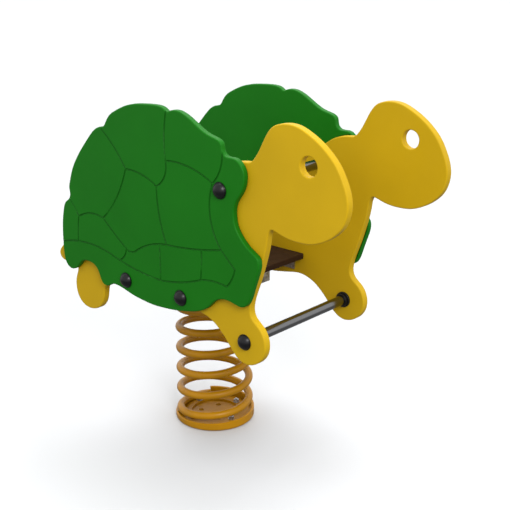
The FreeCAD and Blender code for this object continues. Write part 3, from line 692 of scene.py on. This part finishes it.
coil_lower = coil_half("coil_lower_half", 0.0, 0.5)
coil_upper = coil_half("coil_upper_half", 0.5, 1.0)
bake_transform(coil_lower)
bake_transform(coil_upper)
for half in (coil_lower, coil_upper):
    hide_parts("coil_spring")
print("turns", round(WHOLE / math.tau, 2))

# %% [markdown]
# ## Button caps
# Each bolt head is hidden under a black snap-on cap: a low washer with a dome pressed over
# it. The section starts at the ceiling of the pocket for the bolt head, comes down to the
# board, goes out to the rim and up it, in and out of the fine parting groove between
# washer and dome, and over the dome. One cap is turned, and `side_layout` sets it out on
# both sides. Places come from the boxes of the solid caps.

# %% Button caps
CAP_R = (high("handle_caps").x - low("handle_caps").x) / 2
CAP_H = high("handle_caps").y - SHELL_Y
CAP_RIM = 0.003
RIM_ROUND = 0.0006
POCKET_R = 0.011
POCKET_DEEP = 0.0089
print("cap radius", round(CAP_R, 4), "height", round(CAP_H, 4))


def button_cap():
    dome_r = CAP_R - 0.0010
    rise = CAP_H - CAP_RIM
    ball = (dome_r ** 2 + rise ** 2) / (2 * rise)
    edge = math.degrees(math.asin(dome_r / ball))
    dome = arc(0, CAP_H - ball, ball, 90 - edge, 90, 16)
    section = [(0, POCKET_DEEP), (POCKET_R, POCKET_DEEP), (POCKET_R, 0),
               (CAP_R - RIM_ROUND, 0)]
    section += arc(CAP_R - RIM_ROUND, RIM_ROUND, RIM_ROUND, -90, 0, 3)[1:]
    section += [(CAP_R, CAP_RIM - 0.0010), (CAP_R - 0.0004, CAP_RIM - 0.0005),
                (CAP_R - 0.0015, CAP_RIM - 0.0005), (CAP_R - 0.0015, CAP_RIM - 0.0001)]
    return turned("button_cap", section + dome[:-1] + [(0, CAP_H)], 64)


def side_fixings(name, node, shape, out_from, edge=None):
    edge = (high(node).z - low(node).z) / 2 if edge is None else edge
    first = low(node).x + edge
    last = high(node).x - edge
    places = 2 if last - first > 0.01 else 1
    made = run(shape, side_layout, name, {
        "Places": places, "First X": first, "Step X": last - first,
        "Height": middle(node).z, "Distance out": out_from, "Finish": finishes[slot_of[node]]})
    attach(made, "rider")
    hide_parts(node)
    return made


side_fixings("handle_button_caps", "handle_caps", button_cap(), SHELL_Y)
side_fixings("footrest_button_caps", "footrest_caps", button_cap(), BOARD_Y)
side_fixings("bracket_button_caps", "bracket_caps", button_cap(), SHELL_Y)

# %% [markdown]
# ## Nuts, washers and threaded bolts
# A hexagon's distance from the axis to a flat changes with the angle, so a nut's section
# uses that function. A real nut is also turned to a cone at both ends, which cuts its six
# corners back in curved lines: the height falls by half of what the corner stands out
# past the flats. A bolt's thread shows as a row of ridges, one a pitch. A washer is a
# flat ring with its edges broken.

# %% Nuts, washers and bolts
def hexagon(across):
    return lambda a: across / 2 / math.cos((a + math.pi / 6) % (math.pi / 3) - math.pi / 6)


def hex_nut(name, across, height, bore):
    flat = hexagon(across)
    face = across / 2 * 0.96
    fall = lambda a: (flat(a) - face) * 0.55
    section = [(bore, 0.0006), (bore + 0.0006, 0.0), (face, 0.0), (flat, fall),
               (flat, lambda a: height - fall(a)), (face, height),
               (bore + 0.0006, height), (bore, height - 0.0006)]
    return turned(name, section, 48, closed=True)


def flat_washer(name, outside, bore, thick):
    e = 0.0003
    section = [(bore, e), (bore + e, 0), (outside - e, 0), (outside, e),
               (outside, thick - e), (outside - e, thick), (bore + e, thick),
               (bore, thick - e)]
    return turned(name, section, 48, closed=True)


def thread(radius, start, end, pitch):
    ridges = []
    count = max(1, round((end - start) / pitch))
    pitch = (end - start) / count
    for i in range(count):
        ridges += [(radius, start + pitch * (i + 0.12)), (radius, start + pitch * (i + 0.30)),
                   (radius - pitch * 0.5, start + pitch * (i + 0.72)),
                   (radius - pitch * 0.5, start + pitch * (i + 0.84))]
    return ridges


print("fixings ready")

# %% [markdown]
# ## Fixings of the two round plates
# Four countersunk bolts come up through the base plate and the ring that holds the coil,
# each with a washer and a nut, and their threaded tails stand above the nuts. The same
# set, upside down, holds the upper ring to the upper plate. The tails' tips are a little
# smaller, as rolled threads are.

# %% Fixings of the two round plates
PLATE_BOLT_R = 0.004
BOLT_CIRCLE = 0.07075
WASHER_SEAT = 0.0130
WASHER_T = 0.0016
TAIL_TOP = 0.0241
RISE_ANGLE = WHOLE - 2 * LEVEL
first_low = math.radians(-10)
first_high = math.radians(10) + 2 * CLIMB_START + RISE_ANGLE


def plate_fixings(end, body, base_height, flip, first):
    def lay(name, node, shape):
        made = run(shape, round_layout, name, {
            "Count": 4, "Circle radius": BOLT_CIRCLE, "First angle": first,
            "Height": base_height, "Upside down": flip,
            "Finish": finishes[slot_of[node]]})
        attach(made, body)
        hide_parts(node)

    bolt = ([(0, 0.0002), (0.0078, 0.0002), (0.004, 0.004)]
            + thread(PLATE_BOLT_R, WASHER_SEAT - 0.004, TAIL_TOP - 0.001, 0.00125)
            + [(PLATE_BOLT_R - 0.0008, TAIL_TOP - 0.0006),
               (PLATE_BOLT_R - 0.0012, TAIL_TOP), (0, TAIL_TOP)])
    lay(end + "_plate_bolts", end + "_bolts", turned(end + "_bolt_one", bolt, 32))
    ring = flat_washer(end + "_washer_one", 0.008, 0.0042, WASHER_T)
    ring.data.transform(Matrix.Translation((0, 0, WASHER_SEAT)))
    lay(end + "_plate_washers", end + "_washers", ring)
    nut = hex_nut(end + "_nut_one", 0.013, 0.0065, 0.004)
    nut.data.transform(Matrix.Translation((0, 0, WASHER_SEAT + WASHER_T)))
    lay(end + "_plate_nuts", end + "_nuts", nut)


plate_fixings("base", "base", low("base_plate").z, 0.0, first_low)
plate_fixings("top", "rider", high("top_plate").z, 1.0, first_high)

# %% [markdown]
# ## Bolts of the seat brackets
# Four bolts hold the seat's steel angles to the boards. Their heads are under the caps
# and their nuts are inside, below the seat, where the threaded tails can be seen. The
# section runs from the tip of the tail out to the head, along the bolt's own Z, which
# `side_layout` turns outwards.

# %% Bolts of the seat brackets
bolt_len = high("bracket_bolts").y


def innermost(node):
    return min(v.co.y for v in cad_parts[node].data.vertices if v.co.y > 0)


tail_y = innermost("bracket_bolts")
nut_y = innermost("bracket_nuts")
ACROSS = 0.017
HEAD_T = 0.0064
head = hexagon(ACROSS)
head_top = bolt_len - tail_y
long_bolt = ([(0, 0), (0.0038, 0)] + thread(0.005, 0.0010, 0.0270, 0.0015)
             + [(0.005, 0.0275), (0.005, head_top - HEAD_T), (head, head_top - HEAD_T),
                (head, lambda a: head_top - (head(a) - 0.0082) * 0.55),
                (0.0082, head_top), (0, head_top)])
side_fixings("bracket_hex_bolts", "bracket_bolts", turned("bracket_bolt_one", long_bolt, 48),
             tail_y, ACROSS / 2)
side_fixings("bracket_hex_nuts", "bracket_nuts",
             hex_nut("bracket_nut_one", ACROSS, 0.0084, 0.005), nut_y, ACROSS / 2)
print("tail at", round(tail_y, 4), "nut at", round(nut_y, 4))
